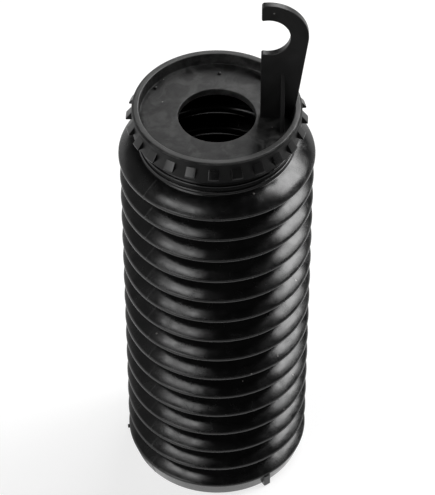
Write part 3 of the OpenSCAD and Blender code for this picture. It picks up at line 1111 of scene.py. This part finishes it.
def mirrored_floor(tree):
    """How bright the floor is in the rubber, from the place on the floor."""
    spot = put(tree, "ShaderNodeTexCoord").outputs["Object"]
    axes = put(tree, "ShaderNodeSeparateXYZ", {"Vector": spot}).outputs
    away = measured(tree, "LENGTH", spot)
    line = sums(tree, "SUBTRACT", axes["Y"], times(tree, axes["X"], CARD_SLANT))
    edge = (CARD_EDGE - CARD_SOFT, CARD_EDGE + CARD_SOFT)
    behind = ramp(tree, line, *edge, CARD_GLOW, MIRRORED_GLOW)
    open_floor = sums(tree, "MAXIMUM", behind, ramp(tree, axes["Y"], *CARD_FAR))
    # Near the boot the mirrored floor is darkened: a painted shadow of the boot, seen only in the
    # rubber.
    shade = ramp(tree, away, *SHADE_REACH, SHADE_GLOW, 1.0)
    paper = times(tree, open_floor, shade)
    strip = times(tree, ramp(tree, away, *STRIP_REACH), ramp(tree, line, *STRIP_FRONT), STRIP_GLOW)
    return sums(tree, "MAXIMUM", paper, strip)


# %% The paper floor
PAPER_GREY = (0.35, 0.35, 0.35, 1.0)
PAPER_GLOW = 0.72


def seen_directly(tree):
    """1 for the rays that the camera sends itself, also through clear things, and else 0."""
    rays = put(tree, "ShaderNodeLightPath").outputs
    return sums(tree, "MAXIMUM", rays["Is Camera Ray"], rays["Is Transmission Ray"])


def white_paper():
    """White to the camera, the mirrored floor to the rubber, and clear from below."""
    material = bpy.data.materials.new("white_paper")
    material.use_nodes = True
    tree = material.node_tree
    tree.nodes.clear()
    output = tree.nodes.new("ShaderNodeOutputMaterial")
    paper = made(tree, "ShaderNodeBsdfDiffuse", {"Color": PAPER_GREY})
    strength = times(tree, seen_directly(tree), PAPER_GLOW)
    glow = made(tree, "ShaderNodeEmission", {"Strength": strength})
    lit = made(tree, "ShaderNodeAddShader", {0: paper, 1: glow})
    mirrored = made(tree, "ShaderNodeEmission", {"Strength": mirrored_floor(tree)})
    is_mirrored = put(tree, "ShaderNodeLightPath").outputs["Is Glossy Ray"]
    above = made(tree, "ShaderNodeMixShader", {0: is_mirrored, 1: lit, 2: mirrored})
    clear = made(tree, "ShaderNodeBsdfTransparent")
    is_below = put(tree, "ShaderNodeNewGeometry").outputs["Backfacing"]
    side = made(tree, "ShaderNodeMixShader", {0: is_below, 1: above, 2: clear})
    tree.links.new(side, output.inputs["Surface"])
    return material


def paper_floor():
    """The sheet of paper under the boot."""
    half = FLOOR_SIZE / 2
    corners = [(-half, -half, 0.0), (half, -half, 0.0), (half, half, 0.0), (-half, half, 0.0)]
    mesh = bpy.data.meshes.new("paper_floor")
    mesh.from_pydata(corners, [], [(0, 1, 2, 3)])
    mesh.materials.append(white_paper())
    added("paper_floor", mesh)
    print("floor of", FLOOR_SIZE, "m, the card starts", -CARD_EDGE, "m before the boot's axis")


paper_floor()

# %% [markdown]
# ## The world
#
# The room round the boot is dark but for a bright strip at the horizon: the pale walls of the studio,
# which the crests of the folds mirror as thin lines. The strip is taller at the left, and a faint
# haze lies there. A small bright window at the left front shows in two of the lugs. To the
# camera the world is white, so that the boot stands before a clean background from every side.

# %% World
WALL_TOP = (0.3, 0.12)
WALL_DEPTH, WALL_GLOW = (-0.95, -0.3), (0.65, 1.15)
LEFT_SIDE, LEFT_RISE = (-0.5, -0.85), 0.18
HAZE_SIDE, HAZE_GLOW = (-0.5, -0.68), (0.02, 0.25)
WINDOW_WAY = Vector((-0.63, -0.65, 0.40)).normalized()
WINDOW_EDGE, WINDOW_GLOW = (0.945, 0.968), 4.0


def mirrored_room(tree):
    """How bright the room is in the rubber, from the direction."""
    direction = put(tree, "ShaderNodeTexCoord").outputs["Generated"]
    axes = put(tree, "ShaderNodeSeparateXYZ", {"Vector": direction}).outputs
    rise = times(tree, ramp(tree, axes["X"], *LEFT_SIDE), LEFT_RISE)
    wall = ramp(tree, sums(tree, "SUBTRACT", axes["Z"], rise), *WALL_TOP)
    walls = times(tree, wall, ramp(tree, axes["Y"], *WALL_DEPTH, *WALL_GLOW))
    haze = ramp(tree, axes["X"], *HAZE_SIDE, *HAZE_GLOW)
    window = ramp(tree, measured(tree, "DOT_PRODUCT", direction, WINDOW_WAY), *WINDOW_EDGE)
    pane = times(tree, window, WINDOW_GLOW)
    return sums(tree, "MAXIMUM", sums(tree, "MAXIMUM", walls, haze), pane)


def studio_world():
    """White to the camera, and the mirrored room to the rubber."""
    world = bpy.data.worlds.new("studio")
    bpy.context.scene.world = world
    world.use_nodes = True
    tree = world.node_tree
    tree.nodes.clear()
    output = tree.nodes.new("ShaderNodeOutputWorld")
    strength = blend(tree, seen_directly(tree), mirrored_room(tree), 1.0)
    background = made(tree, "ShaderNodeBackground", {"Strength": strength})
    tree.links.new(background, output.inputs["Surface"])
    print("world", world.name, "has", len(tree.nodes), "nodes")


studio_world()

# %% [markdown]
# ## The softboxes
#
# Two long softboxes hang high over the boot, one at the left and one behind on the right. Each draws
# one light band down all the folds. A small one behind lights the head's floor and rim. A lamp's
# place, size and turn decide where its band lies and how wide it is, so they are worked out from
# the bands: a face mirrors the lamp when it looks half way between the lamp and the camera.

# %% Softboxes
# Watts for each square metre of a lamp that make it as bright as white.
WATTS_PER_AREA = 4.0


def softbox(name, direction, along, distance, length, width, radiance):
    """A rectangular lamp that looks at the boot's middle, its long side turned to along."""
    data = bpy.data.lights.new(name, "AREA")
    data.shape = "RECTANGLE"
    data.size, data.size_y = length, width
    data.energy = radiance * WATTS_PER_AREA * length * width
    lamp = added(name, data)
    way = Vector(direction).normalized()
    long_side = (Vector(along) - Vector(along).dot(way) * way).normalized()
    turn = Matrix((long_side, way.cross(long_side), way)).transposed()
    lamp.matrix_world = Matrix.Translation(AIM + way * distance) @ turn.to_4x4()
    print(name, "at", [round(x, 3) for x in lamp.location], "W:", round(data.energy, 2))


softbox(
    "left_softbox", direction=(-0.426, -0.250, 0.870), along=(0.845, -0.536, 0.0),
    distance=2.5, length=1.28, width=0.35, radiance=4.6
)
softbox(
    "right_softbox", direction=(0.632, 0.310, 0.727), along=(0.08, 0.44, -0.27),
    distance=2.5, length=1.34, width=1.10, radiance=8.0
)
softbox(
    "back_softbox", direction=(0.296, 0.706, 0.643), along=(0.922, -0.387, 0.0),
    distance=1.4, length=0.65, width=0.65, radiance=4.6
)

# %% [markdown]
# ## The colour view
#
# Colours are shown as they are, with the Standard view.

# %% Finish
bpy.context.scene.view_settings.view_transform = "Standard"
